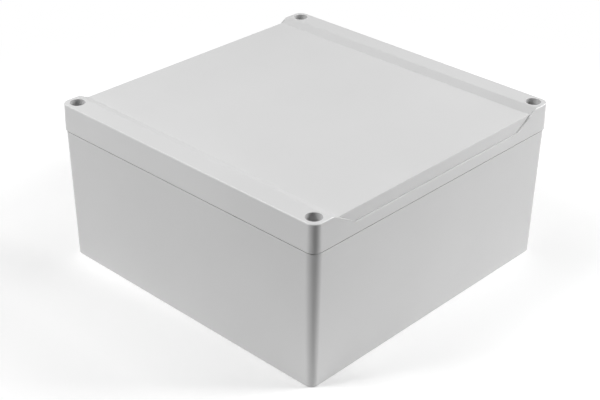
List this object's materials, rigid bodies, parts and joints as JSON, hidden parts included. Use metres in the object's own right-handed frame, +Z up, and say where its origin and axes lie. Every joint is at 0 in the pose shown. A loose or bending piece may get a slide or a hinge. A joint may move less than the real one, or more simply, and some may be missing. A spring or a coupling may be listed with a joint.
{
  "type": "sealed plastic enclosure",
  "caption": "Square moulded plastic enclosure with a deep base, a screw-down lid with raised side bars and a shallow channel, a sealing gasket and mounting holes in its corners.",
  "frame": {"origin": "middle of the underside of the base", "axes": "+Z up towards the lid, X along the lid's channel and its raised bars, Y across them"},
  "size_m": [0.16, 0.16, 0.08],
  "materials": {
    "shell": "satin with a fine moulded texture, light grey",
    "seal": "soft dark rubber",
    "screw": "plain stainless steel",
    "insert": "turned and knurled brass"
  },
  "bodies": {
    "root": {"base": "shell", "lid": "shell", "gasket": "seal", "lid_screws": "screw", "threaded_inserts": "insert"}
  },
  "joints": []
}
